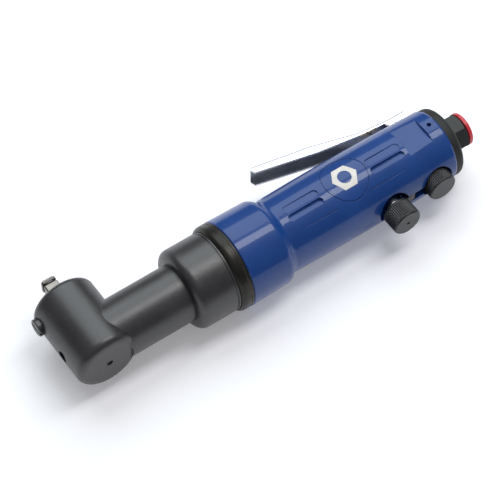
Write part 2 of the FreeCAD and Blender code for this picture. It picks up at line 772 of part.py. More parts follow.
def make_bevel_gear():
    teeth = int(d.gear_teeth.value)
    mate = int(d.pinion_teeth.value)
    cone_length = d.gear_module.value * math.hypot(teeth, mate) / 2
    inner_scale = 1 - d.gear_face.value / cone_length
    outer = root_corner(teeth, mate, 1)
    inner = root_corner(teeth, mate, inner_scale)
    bore = d.spindle_radius.value
    down = Vector(0, -1, 0)
    blank = revolved([(d.gear_hub_top.value, bore), (d.gear_hub_top.value, inner[1]),
                      inner, outer,
                      (d.gear_back.value, outer[1] - d.gear_back_step.value),
                      (d.gear_back.value, bore)], down, Vector(1, 0, 0))
    half_pitch = 180 / teeth
    shape = bevel_shape(blank, teeth, mate, down, Vector(1, 0, 0), half_pitch)
    length = d.gear_back.value - d.gear_hub_top.value + 2 * OVER
    keyway = Part.makeBox(d.key_depth.value + OVER, length, d.key_width.value,
                          Vector(-bore - d.key_depth.value, -d.gear_back.value - OVER,
                                 -d.key_width.value / 2))
    feature = DOC.addObject("Part::Feature", "bevel_gear_shape")
    feature.Shape = shape.cut(keyway)
    finish(feature, "bevel_gear")


def make_pinion_shaft():
    teeth = int(d.pinion_teeth.value)
    mate = int(d.gear_teeth.value)
    cone_length = d.gear_module.value * math.hypot(teeth, mate) / 2
    inner_scale = 1 - d.gear_face.value / cone_length
    outer = root_corner(teeth, mate, 1)
    inner = root_corner(teeth, mate, inner_scale)
    along = Vector(1, 0, 0)
    blank = revolved([(inner[0], 0), inner, outer,
                      (outer[0] + d.pinion_hub_step.value, d.shaft_hub_radius.value),
                      (d.shaft_hub_end.value, d.shaft_hub_radius.value),
                      (d.shaft_hub_end.value, d.shaft_radius.value),
                      (d.shaft_end.value, d.shaft_radius.value), (d.shaft_end.value, 0)],
                     along, Vector(0, 1, 0))
    shape = bevel_shape(blank, teeth, mate, along, Vector(0, -1, 0), 0)
    socket = hex_prism(d.shaft_hex + d.hex_play, d.shaft_end.value - d.shaft_hex_depth.value,
                       d.shaft_end.value + OVER)
    feature = DOC.addObject("Part::Feature", "pinion_shaft_shape")
    feature.Shape = shape.cut(socket)
    finish(feature, "pinion_shaft")


def hex_prism(across_flats, start, end):
    """Hexagonal prism along X."""
    corners = [Vector(start, as_size(x).value, as_size(y).value)
               for x, y in hexagon(across_flats)]
    face = Part.Face(Part.makePolygon(corners + corners[:1]))
    return face.extrude(Vector(end - start, 0, 0))


# ---------------------------------------------------------------- bushings and rings

def make_bushings():
    gap = d.running_gap
    turned("upper_spindle_bushing", "Y",
           ring_profile(d.gear_room_top + d.upper_bush_relief, d.upper_bush_top, d.spindle_radius + gap,
                        d.upper_bush_radius))
    turned("lower_spindle_bushing", "Y",
           ring_profile(-d.cap_pocket_floor, -d.cap_top, d.spindle_foot_radius + gap,
                        d.cap_pocket_radius))
    for label, start in (("front_neck_bushing", d.front_bush_start),
                         ("rear_neck_bushing", d.rear_bush_start)):
        turned(label, "X", ring_profile(start, start + d.neck_bush_length,
                                        d.shaft_radius + gap, d.neck_bore))
    turned("anvil_bushing", "X",
           ring_profile(d.spigot_end, d.case_floor, d.anvil_radius + gap, d.anvil_bush_radius))
    turned("motor_spacer", "X",
           ring_profile(d.spacer_start, d.case_spigot_end, d.spacer_bore, d.case_bore))


def make_front_ring():
    line_end = d.ring_line_start + d.ring_line_width
    turned("front_ring", "X", [
        (d.ring_start, d.case_spigot_radius), (d.ring_start, d.ring_face_radius, d.ring_face_bow),
        (d.ring_crest_start, d.ring_crest_radius), (d.ring_line_start, d.ring_crest_radius),
        (d.ring_line_start, d.ring_crest_radius - d.ring_line_depth),
        (line_end, d.ring_crest_radius - d.ring_line_depth), (line_end, d.ring_crest_radius),
        (d.ring_end - d.ring_edge, d.ring_crest_radius),
        (d.ring_end, d.ring_crest_radius - d.ring_edge),
        (d.ring_end, d.case_spigot_radius)])


# ---------------------------------------------------------------- impact clutch

def make_hammer_case():
    groove_end = d.case_groove_start + d.case_groove_width
    turned("hammer_case", "X", [
        (d.neck_end, d.spigot_radius),
        (d.neck_end, d.case_radius - d.case_round, d.case_round * QUARTER),
        (d.neck_end + d.case_round, d.case_radius), (d.case_groove_start, d.case_radius),
        (d.case_groove_start, d.case_radius - d.case_groove_depth),
        (groove_end, d.case_radius - d.case_groove_depth), (groove_end, d.case_radius),
        (d.case_end, d.case_radius), (d.case_end, d.case_spigot_radius),
        (d.case_spigot_end, d.case_spigot_radius), (d.case_spigot_end, d.case_bore),
        (d.case_floor, d.case_bore), (d.case_floor, d.anvil_bush_radius),
        (d.spigot_end, d.anvil_bush_radius), (d.spigot_end, d.spigot_radius)])


def hammer_start(number):
    """Front face of hammer 0 or 1."""
    first = d.cage_front + d.cage_disc + d.hammer_gap
    return first + (d.hammer_length + d.hammer_gap) * number


def make_anvil():
    body = new_body("anvil")
    spin(body, [(d.anvil_front, 0), (d.anvil_front, d.anvil_radius),
                (d.anvil_end, d.anvil_radius), (d.anvil_end, 0)], "X")
    nose = outline(body, "YZ_Plane", hexagon(d.shaft_hex))
    bind(nose, "AttachmentOffset.Base.z", d.anvil_nose)
    pad(body, nose, d.anvil_front + OVER - d.anvil_nose)
    half = d.lobe_width / 2
    for number in (0, 1):
        lobes = outline(body, "YZ_Plane", [(-d.lobe_radius, -half), (d.lobe_radius, -half),
                                           (d.lobe_radius, half), (-d.lobe_radius, half)])
        bind(lobes, "AttachmentOffset.Base.z", hammer_start(number) + d.lobe_relief)
        pad(body, lobes, d.hammer_length - d.lobe_relief * 2)
    finish(body, "anvil")


def make_hammer_cage():
    body = new_body("hammer_cage")
    rear_disc = d.cage_end - d.cage_disc
    spin(body, ring_profile(d.cage_front, d.cage_end, d.cage_bar_inner, d.cage_radius), "X")
    inside = d.cage_front + d.cage_disc
    half = d.cage_bar_width / 2
    for side in (-1, 1):
        mill(body, rear_disc - inside, d.cage_radius * 2 + 2 * OVER, d.cage_radius + OVER,
             inside, -d.cage_radius - OVER, half if side > 0 else -d.cage_radius - OVER - half)
    for start, hole in ((d.cage_front, d.cage_hole), (rear_disc, d.rotor_shaft)):
        spin(body, ring_profile(start, start + d.cage_disc, hole,
                                d.cage_bar_inner + d.cage_overlap), "X")
    for side in (-1, 1):
        drill(body, "X", d.pin_radius, d.cage_end - d.cage_front, x=d.cage_front,
              z=d.pin_circle * side)
    finish(body, "hammer_cage")


def make_hammers():
    """Two hammers, each with an ear on one of the pins and a clearance for the other."""
    for number, label in enumerate(("front_hammer", "rear_hammer")):
        start = hammer_start(number)
        side = 1 - 2 * number
        body = new_body(label)
        spin(body, ring_profile(start, start + d.hammer_length, d.hammer_bore,
                                d.hammer_radius - d.hammer_relief), "X")
        ear_half = d.hammer_ear_radius
        ear_foot = d.hammer_bore + d.hammer_ear_foot
        ear_top = d.pin_circle + ear_half - d.hammer_ear_drop
        foot_half = ear_half + d.hammer_ear_spread
        ear = outline(body, "YZ_Plane", [
            (-foot_half, ear_foot * side), (foot_half, ear_foot * side),
            (ear_half, d.pin_circle * side), (ear_half / 2, ear_top * side),
            (-ear_half / 2, ear_top * side), (-ear_half, d.pin_circle * side)])
        bind(ear, "AttachmentOffset.Base.z", start)
        pad(body, ear, d.hammer_length)
        dog = outline(body, "YZ_Plane", [
            (-d.dog_width / 2, d.dog_radius * side), (d.dog_width / 2, d.dog_radius * side),
            (d.dog_width / 2, (d.hammer_bore + d.dog_root) * side),
            (-d.dog_width / 2, (d.hammer_bore + d.dog_root) * side)])
        bind(dog, "AttachmentOffset.Base.z", start)
        pad(body, dog, d.hammer_length)
        drill(body, "X", d.pin_radius, d.hammer_length, x=start, z=d.pin_circle * side)
        drill(body, "X", d.pin_radius + d.hammer_swing, d.hammer_length,
              x=start, z=-d.pin_circle * side)
        finish(body, label)


def make_hammer_pins():
    pins = []
    for side in (-1, 1):
        pin = DOC.addObject("Part::Cylinder", "hammer_pin")
        bind(pin, "Radius", d.pin_radius)
        bind(pin, "Height", d.cage_end - d.cage_front)
        put(pin, d.cage_front, 0, d.pin_circle * side, "X")
        pins.append(pin)
    group = DOC.addObject("Part::Compound", "hammer_pins_pair")
    group.Links = pins
    finish(group, "hammer_pins")


# ---------------------------------------------------------------- air motor

def make_bearing(label, start):
    """Ball bearing: outer race with its balls, and inner race."""
    middle = start + d.bearing_length / 2
    parts = {}
    for race, inner, outer in (("outer", d.bearing_pitch + d.race_gap, d.bearing_radius),
                               ("inner", d.rotor_shaft, d.bearing_pitch - d.race_gap)):
        tube = Part.makeCylinder(outer.value, d.bearing_length.value, Vector(start.value, 0, 0),
                                 Vector(1, 0, 0))
        hole = Part.makeCylinder(inner.value, d.bearing_length.value, Vector(start.value, 0, 0),
                                 Vector(1, 0, 0))
        track = Part.makeTorus(d.bearing_pitch.value, (d.ball_radius + d.track_play).value,
                               Vector(middle.value, 0, 0), Vector(1, 0, 0))
        parts[race] = tube.cut(hole).cut(track)
    balls = []
    for number in range(int(d.ball_count.value)):
        angle = 2 * math.pi * number / d.ball_count.value
        centre = Vector(middle.value, d.bearing_pitch.value * math.cos(angle),
                        d.bearing_pitch.value * math.sin(angle))
        balls.append(Part.makeSphere(d.ball_radius.value, centre))
    outer_part = DOC.addObject("Part::Feature", f"{label}_outer_shape")
    outer_part.Shape = Part.makeCompound([parts["outer"]] + balls)
    finish(outer_part, f"{label}_outer")
    inner_part = DOC.addObject("Part::Feature", f"{label}_inner_shape")
    inner_part.Shape = parts["inner"]
    finish(inner_part, f"{label}_inner")


def make_end_plates():
    front_start = d.case_spigot_end
    front_end = front_start + d.plate_length
    seat = front_end - d.bearing_length
    turned("front_end_plate", "X", [
        (front_start, d.plate_bore), (front_start, d.plate_radius), (front_end, d.plate_radius),
        (front_end, d.bearing_radius), (seat, d.bearing_radius), (seat, d.plate_bore)])
    make_bearing("front_bearing", seat)
    rear_end = d.motor_bore_end - d.gasket_thickness
    rear_start = rear_end - d.plate_length
    seat_end = rear_start + d.bearing_length
    turned("rear_end_plate", "X", [
        (rear_start, d.bearing_radius), (rear_start, d.plate_radius),
        (rear_end, d.plate_radius), (rear_end, d.plate_bore), (seat_end, d.plate_bore),
        (seat_end, d.bearing_radius)])
    make_bearing("rear_bearing", rear_start)
    turned("rear_gasket", "X", ring_profile(rear_end, d.motor_bore_end, d.gasket_bore,
                                            d.plate_radius))
    return front_end, rear_start


def make_motor_cylinder(start, end):
    body = new_body("motor_cylinder")
    spin(body, [(start, 0), (start, d.plate_radius), (end, d.plate_radius), (end, 0)], "X")
    drill(body, "X", d.cylinder_bore, end - start, x=start, z=d.cylinder_offset)
    middle = (start + end) / 2
    for side in (-1, 0, 1):
        drill(body, "Y", d.cylinder_port, d.plate_radius + OVER,
              x=middle + d.cylinder_port_step * side)
    finish(body, "motor_cylinder")


def make_rotor(start, end):
    body = new_body("rotor")
    nose = d.cage_end - d.cage_disc
    tail = d.motor_bore_end - d.gasket_thickness
    low = start + d.rotor_gap
    high = end - d.rotor_gap
    spin(body, [(nose, 0), (nose, d.rotor_shaft), (low, d.rotor_shaft), (low, d.rotor_radius),
                (high, d.rotor_radius), (high, d.rotor_shaft), (tail, d.rotor_shaft),
                (tail, 0)], "X")
    slot = mill(body, high - low, d.vane_width, d.vane_depth + OVER,
                low, -d.vane_width / 2, d.rotor_radius - d.vane_depth)
    repeat_round(body, [slot], "X", d.vane_count)
    finish(body, "rotor")


def make_vanes(start, end):
    vanes = []
    low = (start + d.rotor_gap).value
    high = (end - d.rotor_gap).value
    half = d.vane_width.value / 2
    foot = (d.rotor_radius - d.vane_depth).value
    top = math.sqrt(d.rotor_radius.value ** 2 - half ** 2)
    for number in range(int(d.vane_count.value)):
        vane = Part.makeBox(high - low, half * 2, top - foot, Vector(low, -half, foot))
        vane.rotate(Vector(), Vector(1, 0, 0), 360 * number / d.vane_count.value)
        vanes.append(vane)
    feature = DOC.addObject("Part::Feature", "vanes_shape")
    feature.Shape = Part.makeCompound(vanes)
    finish(feature, "vanes")


# ---------------------------------------------------------------- motor housing

def housing_outside(body):
    spin(body, [(d.housing_start, 0), (d.housing_start, d.housing_radius - d.housing_edge),
                (d.housing_start + d.housing_edge, d.housing_radius),
                (d.crest_end, d.crest_end_radius, d.shoulder_sag),
                (d.shoulder_mid, d.shoulder_mid_radius, -d.shoulder_sag),
                (d.grip_start, d.grip_start_radius, d.grip_sag),
                (d.grip_end, d.grip_end_radius), (d.housing_end, d.housing_end_radius),
                (d.housing_end, 0)], "X")


def housing_bores(body):
    drill(body, "X", d.case_spigot_radius, d.case_spigot_end - d.housing_start,
          x=d.housing_start)
    drill(body, "X", d.motor_bore, d.motor_bore_end - d.case_spigot_end, x=d.case_spigot_end)
    drill(body, "X", d.inlet_thread, d.housing_end - d.inlet_start, x=d.inlet_start)
    drill(body, "X", d.inlet_passage, d.inlet_start - d.throttle_x, x=d.throttle_x)
    for angle in EXHAUST_ANGLES:
        turn = math.radians(angle)
        drill(body, "X", d.exhaust_radius, d.housing_end - d.motor_bore_end,
              x=d.motor_bore_end, y=d.exhaust_circle * math.cos(turn),
              z=d.exhaust_circle * math.sin(turn))
    drill(body, "X", d.feed_radius, d.reverse_x - d.motor_bore_end, x=d.motor_bore_end,
          y=-d.feed_y)


def housing_valves(body):
    """Deck, lug and chamber of the throttle, pockets and bores of the knobs."""
    wide = d.housing_radius * 2
    mill(body, d.deck_end - d.deck_start, d.housing_radius, wide,
         d.deck_start, d.deck_height, -d.housing_radius)
    bow = -d.lug_radius * QUARTER
    lug = outline(body, "XY_Plane", [
        (d.lever_pin_x - d.lug_foot, d.deck_height - d.lug_sink),
        (d.lever_pin_x + d.lug_foot, d.deck_height - d.lug_sink),
        (d.lever_pin_x + d.lug_radius, d.lever_pin_y, bow),
        (d.lever_pin_x, d.lever_pin_y + d.lug_radius, bow),
        (d.lever_pin_x - d.lug_radius, d.lever_pin_y)])
    pad(body, lug, d.lug_half * 2, both_ways=True)
    drill(body, "Z", d.lever_pin_radius, d.lug_half * 2 + 2 * OVER,
          x=d.lever_pin_x, y=d.lever_pin_y, z=-d.lug_half - OVER)
    drill(body, "Y", d.throttle_chamber, d.throttle_floor + d.deck_height,
          x=d.throttle_x, y=-d.throttle_floor)
    drill(body, "Y", d.bushing_radius, d.deck_height, x=d.throttle_x, y=d.bushing_low)
    for knob_x in (d.forward_x, d.reverse_x):
        drill(body, "Y", d.scallop_radius, d.housing_radius - d.scallop_floor,
              x=knob_x, y=-d.housing_radius)
        drill(body, "Y", d.sleeve_radius, d.housing_radius - d.sleeve_in,
              x=knob_x, y=-d.housing_radius)
    mill(body, d.reverse_x - d.forward_x, d.housing_radius - d.rocker_slot_floor, d.rocker_slot,
         d.forward_x, -d.housing_radius, -d.rocker_slot / 2)
    drill(body, "Z", d.rocker_pin_radius, d.rocker_pin_half * 2,
          x=d.rocker_x, y=-d.rocker_y, z=-d.rocker_pin_half)


def housing_marks(body):
    """Slots, fine lines, panel and pit: on the upper side, the slots and lines on both."""
    marks = []
    reach = d.housing_radius
    for start in (d.slot_front_start, d.slot_rear_start):
        for middle, width, floor in ((-d.slot_deep_y, d.slot_deep_width, d.slot_deep_floor),
                                     (-d.slot_wide_y, d.slot_wide_width, d.slot_wide_floor)):
            slot = outline(body, "XY_Plane", stadium(start, d.slot_length, middle, width))
            bind(slot, "AttachmentOffset.Base.z", floor)
            marks.append(pocket(body, slot, reach - floor, reverse=True))
    mirror = body.newObject("PartDesign::Mirrored", "underside")
    mirror.Originals = marks
    mirror.MirrorPlane = (origin_plane(body, "XY_Plane"), [""])
    body.Tip = mirror
    mill(body, d.panel_end - d.panel_start, d.panel_half * 2, reach - d.panel_height,
         d.panel_start, -d.panel_half, d.panel_height)
    drill(body, "Z", d.pit_radius, reach - d.pit_floor, x=d.pit_x, y=d.pit_y, z=d.pit_floor)


def engraving_shell():
    """Tube along the grip whose thickness limits how deep an engraving goes."""
    outside = DOC.addObject("Part::Cylinder", "engraving_outside")
    inside = DOC.addObject("Part::Cylinder", "engraving_inside")
    for cylinder, radius in ((outside, d.housing_radius), (inside, d.badge_floor)):
        bind(cylinder, "Radius", radius)
        bind(cylinder, "Height", d.housing_end - d.grip_start)
        put(cylinder, d.grip_start, 0, 0, "X")
    return cut_object("engraving_shell", outside, inside)


def engraved_circle():
    outside = DOC.addObject("Part::Cylinder", "badge_outside")
    inside = DOC.addObject("Part::Cylinder", "badge_inside")
    for cylinder, radius in ((outside, d.badge_radius), (inside, d.badge_radius - d.badge_line)):
        bind(cylinder, "Radius", radius)
        bind(cylinder, "Height", d.housing_radius + OVER)
        put(cylinder, d.badge_x, -d.badge_y, 0)
    return cut_object("badge_circle", outside, inside)


def engraved_lines():
    lines = []
    turn = math.radians(d.line_angle.value)
    back = -d.line_width.value / 2
    for start in (d.slot_front_start + d.line_front_shift, d.slot_rear_start - d.line_rear_shift):
        line = DOC.addObject("Part::Box", "grip_line")
        bind(line, "Length", d.line_length)
        bind(line, "Width", d.line_width)
        bind(line, "Height", d.housing_radius + OVER)
        line.Placement = Placement(
            Vector(start.value, back * math.cos(turn), back * math.sin(turn)),
            Rotation(Vector(1, 0, 0), d.line_angle.value))
        lines.append(line)
    return lines


def engrave(base):
    """Cut the round badge's outline and the fine lines into the housing."""
    for number, mark in enumerate([engraved_circle()] + engraved_lines()):
        common = DOC.addObject("Part::Common", f"engraving_{number}")
        common.Base = mark
        common.Tool = engraving_shell()
        base = cut_object(f"engraved_{number}", base, common)
    return base


def cut_object(name, base, tool):
    result = DOC.addObject("Part::Cut", name)
    result.Base = base
    result.Tool = tool
    return result


def make_motor_housing():
    body = new_body("motor_housing")
    housing_outside(body)
    housing_bores(body)
    housing_valves(body)
    housing_marks(body)
    finish(engrave(body), "motor_housing")


# ---------------------------------------------------------------- throttle

def lever_line(shrink):
    """Outer line of the lever in its side view, from tip to ears, moved inwards."""
    return [(d.lever_tip_x, d.lever_tip_y - shrink), (d.lever_mid_x, d.lever_mid_y - shrink),
            (d.lever_knee_x, d.lever_knee_y - shrink), (d.lever_ear_start, d.lever_rear_y - shrink),
            (d.lever_rear_x, d.lever_rear_y - shrink)]


def make_throttle_lever():
    body = new_body("throttle_lever")
    flange = [(d.lever_rear_x, d.lever_ear_low),
              (d.lever_ear_start + d.lever_ear_bend, d.lever_ear_low),
              (d.lever_ear_start - d.lever_ear_slope, d.lever_knee_low - d.lever_ear_rise),
              (d.lever_knee_x, d.lever_knee_low), (d.lever_mid_x, d.lever_mid_low),
              (d.lever_tip_x + d.lever_tip_slope, d.lever_tip_low)]
    pad(body, outline(body, "XY_Plane", (lever_line(0) + flange)[::-1]), d.lever_half * 2,
        both_ways=True)
    half = d.lever_half.value
    line = [(x.value, y.value) for x, y in lever_line(0)]

    def outer_edge(edge):
        """An edge between two corners of the outer line, at either side of the lever."""
        return all(abs(abs(v.Z) - half) < TOUCH
                   and any(math.dist((v.X, v.Y), corner) < TOUCH for corner in line)
                   for v in edge.Vertexes)

    dress_edges(body, "PartDesign::Fillet", "Radius", d.lever_edge, outer_edge)
    front = d.lever_tip_x - OVER
    back = d.lever_rear_x + OVER
    floor = d.lever_ear_low - OVER
    room = [(front, d.lever_tip_y - d.lever_sheet + d.lever_tip_lip),
            *lever_line(d.lever_sheet)[1:-1],
            (back, d.lever_rear_y - d.lever_sheet), (back, floor), (front, floor)]
    inner = (d.lever_half - d.lever_sheet) * 2
    pocket(body, outline(body, "XY_Plane", room[::-1]), inner, both_ways=True)
    drill(body, "Z", d.lever_pin_radius + d.running_gap, d.lever_half * 2 + 2 * OVER,
          x=d.lever_pin_x, y=d.lever_pin_y, z=-d.lever_half - OVER)
    finish(body, "throttle_lever")


def make_lever_pin():
    half = d.lever_half + d.pin_head_gap
    end = half + d.pin_head_height
    head = d.lever_pin_radius + d.pin_head_step
    turned("lever_pin", "Z", [
        (-end, 0), (-end, head), (-half, head), (-half, d.lever_pin_radius),
        (half, d.lever_pin_radius), (half, head), (end, head), (end, 0)],
        x=d.lever_pin_x, y=d.lever_pin_y)


def make_throttle_valve():
    bore = d.stem_radius + d.running_gap
    seat = d.bushing_low - d.valve_seat_step
    seal_middle = d.deck_height - d.seal_depth
    groove_floor = d.bushing_radius - d.seal_wire * 2
    turned("throttle_bushing", "Y", [
        (d.bushing_low, bore), (d.bushing_low, d.bushing_radius),
        (seal_middle - d.seal_wire, d.bushing_radius), (seal_middle - d.seal_wire, groove_floor),
        (seal_middle + d.seal_wire, groove_floor), (seal_middle + d.seal_wire, d.bushing_radius),
        (d.deck_height, d.bushing_radius), (d.deck_height, d.bushing_head_radius),
        (d.bushing_head_top - d.bushing_bevel, d.bushing_head_radius),
        (d.bushing_head_top, d.bushing_head_radius - d.bushing_bevel),
        (d.bushing_head_top, bore)],
        x=d.throttle_x)
    turned("throttle_valve", "Y", [
        (seat - d.valve_thickness, 0), (seat - d.valve_thickness, d.valve_radius),
        (seat, d.valve_radius), (seat, d.stem_radius),
        (d.stem_top - d.stem_bevel, d.stem_radius),
        (d.stem_top, d.stem_radius - d.stem_bevel), (d.stem_top, 0)], x=d.throttle_x)
    make_o_ring("throttle_seal", "Y", seal_middle, d.bushing_radius - d.seal_wire, d.seal_wire,
                d.throttle_x)
    make_throttle_spring(seat - d.valve_thickness)


def make_o_ring(label, axis, station, radius, wire, x=0):
    ring = DOC.addObject("Part::Torus", f"{label}_torus")
    bind(ring, "Radius1", radius)
    bind(ring, "Radius2", wire)
    ring.Placement = Placement(Vector(), TURN_TO[axis])
    if axis == "Y":
        finish(ring, label, x=x, y=station)
    else:
        finish(ring, label, x=station)


def make_throttle_spring(top):
    """Compression spring between the valve disc and the chamber's floor."""
    low = -d.throttle_floor.value + d.spring_wire.value
    high = top.value - d.spring_wire.value
    pitch = (high - low) / d.spring_turns.value
    helix = Part.makeHelix(pitch, high - low, d.spring_radius.value)
    circle = Part.makeCircle(d.spring_wire.value, Vector(d.spring_radius.value, 0, 0),
                             Vector(0, 1, 0))
    coil = Part.Wire(helix).makePipeShell([Part.Wire(circle)], True, True)
    coil.rotate(Vector(), Vector(1, 0, 0), -90)
    coil.translate(Vector(0, low, 0))
    feature = DOC.addObject("Part::Feature", "throttle_spring_shape")
    feature.Shape = Part.makeCompound([coil])
    finish(feature, "throttle_spring", x=d.throttle_x)


# ---------------------------------------------------------------- direction knobs

def knurled_corners():
    """Star outline of the knurling."""
    corners = []
    ridges = int(d.knob_ridges.value)
    for number in range(ridges * 2):
        angle = math.pi * number / ridges
        radius = d.knob_radius if number % 2 == 0 else d.knob_radius - d.knob_ridge_depth
        corners.append((radius * math.cos(angle), radius * math.sin(angle)))
    return corners


def make_knob(label, knob_x, face, dimpled):
    """Hollow push knob with its valve stem; its own origin is the centre of the face."""
    body = new_body(label)
    low = d.knob_radius - d.knob_ridge_depth
    spin(body, [(0, 0), (0, low - d.knob_edge), (d.knob_edge, low), (d.knob_length, low),
                (d.knob_length, d.knob_hollow), (d.knob_wall, d.knob_hollow),
                (d.knob_wall, d.knob_stem), (d.knob_wall + d.knob_stem_length, d.knob_stem),
                (d.knob_wall + d.knob_stem_length, 0)], "Y")
    inner = d.knob_length - d.knob_rim
    rim = d.knob_rim_bevel
    spin(body, [(inner, low - OVER), (inner, d.knob_radius), (d.knob_length - rim, d.knob_radius),
                (d.knob_length, d.knob_radius - rim), (d.knob_length, low - OVER)], "Y")
    knurls = outline(body, "XZ_Plane", knurled_corners())
    bind(knurls, "AttachmentOffset.Base.z", -inner)
    pad(body, knurls, inner - d.knob_edge * 2)
    drill(body, "Y", d.knob_hollow, d.knob_length - d.knob_wall, y=d.knob_wall)
    spin(body, [(d.knob_wall - OVER, 0), (d.knob_wall - OVER, d.knob_stem),
                (d.knob_wall + d.knob_stem_length, d.knob_stem),
                (d.knob_wall + d.knob_stem_length, 0)], "Y")
    if dimpled:
        drill(body, "Y", d.dimple_radius, d.dimple_depth)
    finish(body, label, x=knob_x, y=-face)


def make_knobs():
    reverse_face = d.forward_face - d.knob_travel
    make_knob("forward_knob", d.forward_x, d.forward_face, True)
    make_knob("reverse_knob", d.reverse_x, reverse_face, False)
    for label, knob_x in (("forward_sleeve", d.forward_x), ("reverse_sleeve", d.reverse_x)):
        body = new_body(label)
        spin(body, ring_profile(-d.sleeve_out, -d.sleeve_in, d.knob_stem + d.running_gap,
                                d.sleeve_radius), "Y")
        drill(body, "X", d.feed_radius, d.sleeve_radius * 2 + 2 * OVER,
              x=-d.sleeve_radius - OVER, y=-d.feed_y)
        finish(body, label, x=knob_x)


def make_rocker():
    """Link between the knobs: when one is pushed in, its ends push the other one out."""
    lift = d.knob_travel / 2
    reach = d.rocker_half - d.rocker_tip
    tilt = math.asin(lift.value / reach.value)
    body = new_body("knob_rocker")
    tip = d.rocker_tip
    bow = tip * QUARTER
    sketch = outline(body, "XY_Plane", [
        (-reach, -tip, bow), (-reach - tip, 0, bow), (-reach, tip),
        (0, d.rocker_hub * ROCKER_BACK), (reach, tip, bow), (reach + tip, 0, bow), (reach, -tip),
        (reach * ROCKER_FLAT, -d.rocker_hub, -ROCKER_BOW), (-reach * ROCKER_FLAT, -d.rocker_hub)])
    pad(body, sketch, d.rocker_thick, both_ways=True)
    drill(body, "Z", d.rocker_pin_radius + d.running_gap, d.rocker_thick + 2 * OVER,
          z=-d.rocker_thick / 2 - OVER)
    body.Placement = Placement(Vector(), Rotation(Vector(0, 0, 1), math.degrees(tilt)))
    finish(body, "knob_rocker", x=d.rocker_x, y=-d.rocker_y)
    turned("rocker_pin", "Z", [(-d.rocker_pin_half, 0), (-d.rocker_pin_half, d.rocker_pin_radius),
                               (d.rocker_pin_half, d.rocker_pin_radius), (d.rocker_pin_half, 0)],
           x=d.rocker_x, y=-d.rocker_y)


# ---------------------------------------------------------------- exhaust and air inlet

def make_exhaust_ring():
    body = new_body("exhaust_ring")
    bow = d.exhaust_round * QUARTER
    outer = d.housing_end_radius - d.exhaust_step
    spin(body, [(d.housing_end, d.exhaust_bore), (d.housing_end, d.chamber_inner),
                (d.chamber_end, d.chamber_inner), (d.chamber_end, d.chamber_outer),
                (d.housing_end, d.chamber_outer), (d.housing_end, outer),
                (d.exhaust_end - d.exhaust_round, outer, bow),
                (d.exhaust_end, outer - d.exhaust_round), (d.exhaust_end, d.exhaust_bore)], "X")
    vent = drill(body, "X", d.vent_radius, d.exhaust_end - d.chamber_end + 2 * OVER,
                 x=d.chamber_end - OVER, z=d.vent_circle)
    repeat_round(body, [vent], "X", d.vent_count)
    finish(body, "exhaust_ring")
    turned("silencer", "X", ring_profile(d.housing_end, d.chamber_end, d.chamber_inner,
                                         d.chamber_outer))


def make_inlet_bushing():
    body = new_body("inlet_bushing")
    spin(body, [(d.inlet_start, 0), (d.inlet_start, d.inlet_thread),
                (d.exhaust_end + OVER, d.inlet_thread), (d.exhaust_end + OVER, 0)], "X")
    hexes = outline(body, "YZ_Plane", hexagon(d.inlet_flats))
    bind(hexes, "AttachmentOffset.Base.z", d.exhaust_end)
    pad(body, hexes, d.inlet_end - d.exhaust_end)
    corner = d.inlet_flats / math.sqrt(3)
    bevel_start = d.inlet_end - d.inlet_bevel_length
    spin(body, [(bevel_start, corner + OVER), (bevel_start, corner),
                (d.inlet_end, corner - d.inlet_bevel_depth), (d.inlet_end, corner + OVER)],
         "X", "PartDesign::Groove")
    drill(body, "X", d.inlet_throat, d.inlet_end - d.inlet_start, x=d.inlet_start)
    drill(body, "X", d.strainer_radius, d.strainer_thickness, x=d.inlet_start)
    drill(body, "X", d.inlet_bore, d.inlet_end - d.inlet_bore_start, x=d.inlet_bore_start)
    drill(body, "X", d.inlet_mouth, d.inlet_mouth_depth, x=d.inlet_end - d.inlet_mouth_depth)
    spin(body, ring_profile(d.o_ring_x - d.o_ring_wire, d.o_ring_x + d.o_ring_wire,
                            d.inlet_thread - d.o_ring_wire * 2, d.inlet_thread + OVER),
         "X", "PartDesign::Groove")
    finish(body, "inlet_bushing")
    make_o_ring("inlet_o_ring", "X", d.o_ring_x, d.inlet_thread - d.o_ring_wire, d.o_ring_wire)


def make_strainer():
    body = new_body("inlet_strainer")
    end = d.inlet_start + d.strainer_thickness
    spin(body, [(d.inlet_start, 0), (d.inlet_start, d.strainer_radius),
                (end, d.strainer_radius), (end, 0)], "X")
    through = d.strainer_thickness + 2 * OVER
    drill(body, "X", d.strainer_hole, through, x=d.inlet_start - OVER)
    for circle, count in ((d.strainer_inner, 6), (d.strainer_outer, 12)):
        hole = drill(body, "X", d.strainer_hole, through, x=d.inlet_start - OVER, z=circle)
        repeat_round(body, [hole], "X", count)
    finish(body, "inlet_strainer")


def make_dust_plug():
    start = d.plug_end - d.plug_flange_thickness
    stem_outside = d.inlet_mouth - d.running_gap * 2
    stem_inside = stem_outside - d.plug_wall
    bevel = d.plug_flange_thickness / 4
    turned("dust_plug", "X", [
        (start, 0), (start, stem_inside), (start - d.plug_stem_length, stem_inside),
        (start - d.plug_stem_length, stem_outside), (start, stem_outside),
        (start, d.plug_flange), (d.plug_end - bevel, d.plug_flange),
        (d.plug_end, d.plug_flange - bevel), (d.plug_end, 0)])


# ---------------------------------------------------------------- assembly and export

def check_document():
    DOC.recompute()
    faults = []
    for item in DOC.Objects:
        if "Invalid" in item.State or "Error" in item.State:
            parents = [parent.Label for parent in item.InList]
            faults.append(f"{item.Name} ({item.Label}) of {parents} failed: {item.getStatusString()}")
    for item in SUBPARTS:
        if item.Shape.isNull() or not item.Shape.isValid():
            faults.append(f"{item.Label} has no valid shape")
    if faults:
        raise RuntimeError("\n".join(faults))


